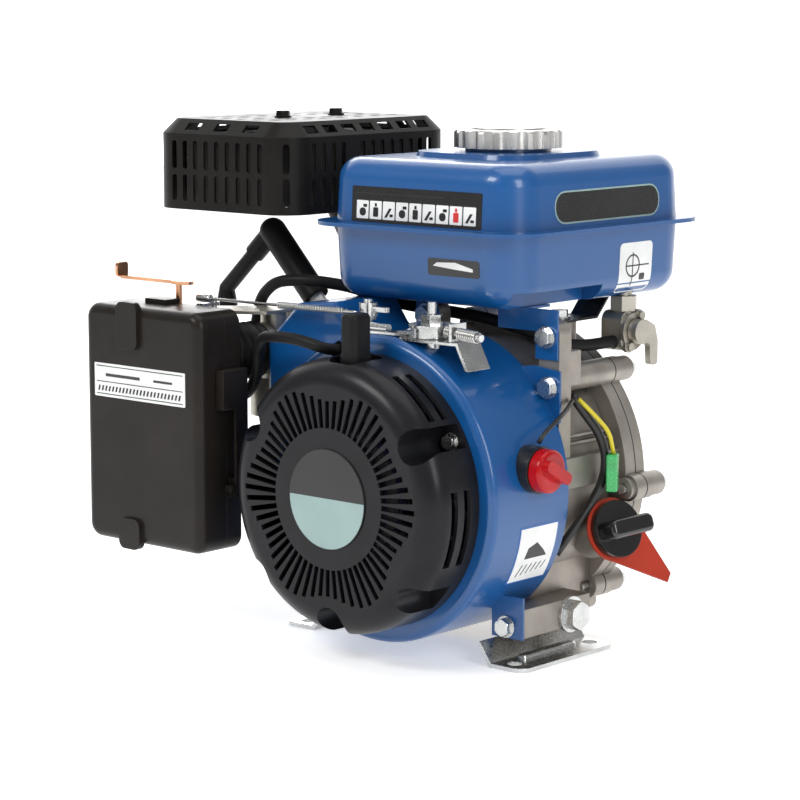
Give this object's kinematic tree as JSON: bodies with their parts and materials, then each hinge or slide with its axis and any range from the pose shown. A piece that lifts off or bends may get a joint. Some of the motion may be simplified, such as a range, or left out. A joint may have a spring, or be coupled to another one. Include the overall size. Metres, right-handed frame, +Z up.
{
  "type": "small gasoline engine",
  "caption": "Air-cooled gasoline engine with a slanted cylinder, recoil starter, fuel tank, guarded muffler, boxed air cleaner and a keyed horizontal drive shaft.",
  "frame": {"origin": "centre of the base bolt pattern, on the plane the feet stand on", "axes": "+Z up, +Y along the crankshaft towards the drive shaft's end, +X to the right seen from the recoil starter"},
  "size_m": [0.3306, 0.2614, 0.3092],
  "materials": {
    "cast_alloy": "die cast, warm grey",
    "gasket_black": "pressed fibre",
    "zinc_steel": "bright zinc",
    "ground_steel": "ground",
    "piston_alloy": "machined",
    "flywheel_iron": "turned",
    "fan_plastic": "moulded",
    "shroud_blue": "gloss royal blue",
    "tank_blue": "gloss royal blue",
    "starter_black": "satin black",
    "badge": "printed disc",
    "spring_steel": "bright wire",
    "rope": "braided",
    "handle_black": "moulded",
    "bracket_black": "satin black",
    "cap_steel": "brushed and polished",
    "zinc_cast": "die cast",
    "hose_black": "moulded",
    "choke_copper": "yellow-passivated",
    "box_black": "satin moulded",
    "filter_foam": "open foam",
    "muffler_steel": "heat paint",
    "guard_black": "satin heat paint",
    "plug_ceramic": "glazed",
    "boot_black": "satin",
    "coil_black": "potted",
    "switch_black": "moulded",
    "knob_red": "translucent red",
    "dipstick_black": "gloss",
    "tag_red": "plain sheet",
    "wire_black": "insulated"
  },
  "bodies": {
    "engine_block": {"crankcase": "cast_alloy", "crankcase_cover": "cast_alloy", "cylinder_head": "cast_alloy", "rocker_cover": "cast_alloy", "gaskets": "gasket_black", "m6_bolts": "zinc_steel", "m5_bolts": "zinc_steel", "main_bearings": "ground_steel", "oil_seal": "hose_black", "fan_shroud": "shroud_blue", "ignition_coil": "coil_black", "recoil_cover": "starter_black", "recoil_badge": "badge", "tank_upper": "tank_blue", "tank_lower": "tank_blue", "tank_brackets": "bracket_black", "fuel_cock": "zinc_cast", "fuel_hose": "hose_black", "carburettor": "zinc_cast", "intake_bellows": "hose_black", "control_bracket": "zinc_steel", "air_cleaner_base": "box_black", "air_filter": "filter_foam", "muffler": "muffler_steel", "muffler_guard": "guard_black", "spark_plug": "plug_ceramic", "plug_cap": "boot_black", "ignition_lead": "boot_black", "base_feet": "zinc_steel", "drain_plug": "zinc_steel", "stop_switch": "switch_black", "wiring": "wire_black"},
    "crank": {"crankshaft": "ground_steel", "timing_gear": "ground_steel", "flywheel": "flywheel_iron", "cooling_fan": "fan_plastic", "starter_cup": "ground_steel", "flywheel_nut": "zinc_steel"},
    "cam": {"camshaft": "ground_steel"},
    "piston_rod": {"piston": "piston_alloy", "connecting_rod": "piston_alloy", "rod_pins": "ground_steel"},
    "pull_grip": {"starter_handle": "handle_black", "pull_rope": "rope"},
    "rope_pulley": {"recoil_pulley": "fan_plastic", "recoil_spring": "spring_steel", "rope_turns": "rope"},
    "speed_control": {"control_lever": "zinc_steel"},
    "governor": {"governor_arm": "zinc_steel"},
    "link": {"governor_link": "spring_steel"},
    "throttle": {"throttle_arm": "zinc_steel"},
    "choke": {"choke_lever": "choke_copper"},
    "cock_handle": {"fuel_cock_lever": "zinc_cast"},
    "stop_dial": {"stop_knob": "knob_red"},
    "oil_dipstick": {"dipstick": "dipstick_black", "warning_tag": "tag_red"},
    "tank_cap": {"fuel_cap": "cap_steel"},
    "box_clip": {"air_cleaner_clip": "box_black"},
    "box_cover": {"air_cleaner_cover": "box_black"}
  },
  "joints": [
    {"name": "crank_spin", "type": "hinge", "parent": "engine_block", "child": "crank", "pos_m": [0, 0, 0.098], "axis": [0, 1, 0], "continuous": true},
    {"name": "cam_spin", "type": "hinge", "parent": "engine_block", "child": "cam", "pos_m": [0.02025, 0, 0.13307], "axis": [0, 1, 0], "continuous": true},
    {"name": "piston_stroke", "type": "slide", "parent": "engine_block", "child": "piston_rod", "axis": [-0.9063, 0, 0.4226], "range_m": [-0.038, 0]},
    {"name": "starter_pull", "type": "slide", "parent": "engine_block", "child": "pull_grip", "axis": [0, 0, 1], "range_m": [0, 0.6], "stiffness_N_per_m": 20, "deforming": ["pull_rope"]},
    {"name": "pulley_spin", "type": "hinge", "parent": "engine_block", "child": "rope_pulley", "pos_m": [0, 0, 0.098], "axis": [0, 1, 0], "continuous": true},
    {"name": "control_swing", "type": "hinge", "parent": "engine_block", "child": "speed_control", "pos_m": [0.029, -0.048, 0.19], "axis": [0, 0, 1], "range_deg": [-15, 10]},
    {"name": "governor_swing", "type": "hinge", "parent": "engine_block", "child": "governor", "pos_m": [-0.022, -0.046, 0.195], "axis": [0, 0, 1], "range_deg": [-10, 10]},
    {"name": "link_swing", "type": "hinge", "parent": "governor", "child": "link", "pos_m": [-0.022, -0.056, 0.199], "axis": [0, 0, 1], "range_deg": [-11, 11]},
    {"name": "throttle_swing", "type": "hinge", "parent": "engine_block", "child": "throttle", "pos_m": [-0.142, -0.054, 0.195], "axis": [0, 0, 1], "range_deg": [-11, 11]},
    {"name": "choke_swing", "type": "hinge", "parent": "engine_block", "child": "choke", "pos_m": [-0.158, -0.068, 0.2], "axis": [0, 0, 1], "range_deg": [0, 70]},
    {"name": "cock_turn", "type": "hinge", "parent": "engine_block", "child": "cock_handle", "pos_m": [0.071, 0.09, 0.182], "axis": [1, 0, 0], "range_deg": [0, 90]},
    {"name": "stop_turn", "type": "hinge", "parent": "engine_block", "child": "stop_dial", "pos_m": [0.096, -0.03, 0.116], "axis": [1, 0, 0], "range_deg": [0, 50]},
    {"name": "dipstick_pull", "type": "slide", "parent": "engine_block", "child": "oil_dipstick", "axis": [0.9312, -0.2203, 0.2904], "range_m": [0, 0.06]},
    {"name": "cap_lift", "type": "slide", "parent": "engine_block", "child": "tank_cap", "axis": [0, 0, 1], "range_m": [0, 0.03]},
    {"name": "clip_swing", "type": "hinge", "parent": "engine_block", "child": "box_clip", "pos_m": [-0.0975, -0.08, 0.09], "axis": [0, 1, 0], "range_deg": [0, 18]},
    {"name": "cover_slide", "type": "slide", "parent": "engine_block", "child": "box_cover", "axis": [0, -1, 0], "range_m": [0, 0.06]}
  ],
  "couplings": [
    {"joint": "cam_spin", "follows": "crank_spin", "ratio": -0.5},
    {"joint": "pulley_spin", "follows": "starter_pull", "rad_per_m": 31.25},
    {"joint": "link_swing", "follows": "governor_swing", "ratio": -1},
    {"joint": "throttle_swing", "follows": "governor_swing", "ratio": 1}
  ]
}
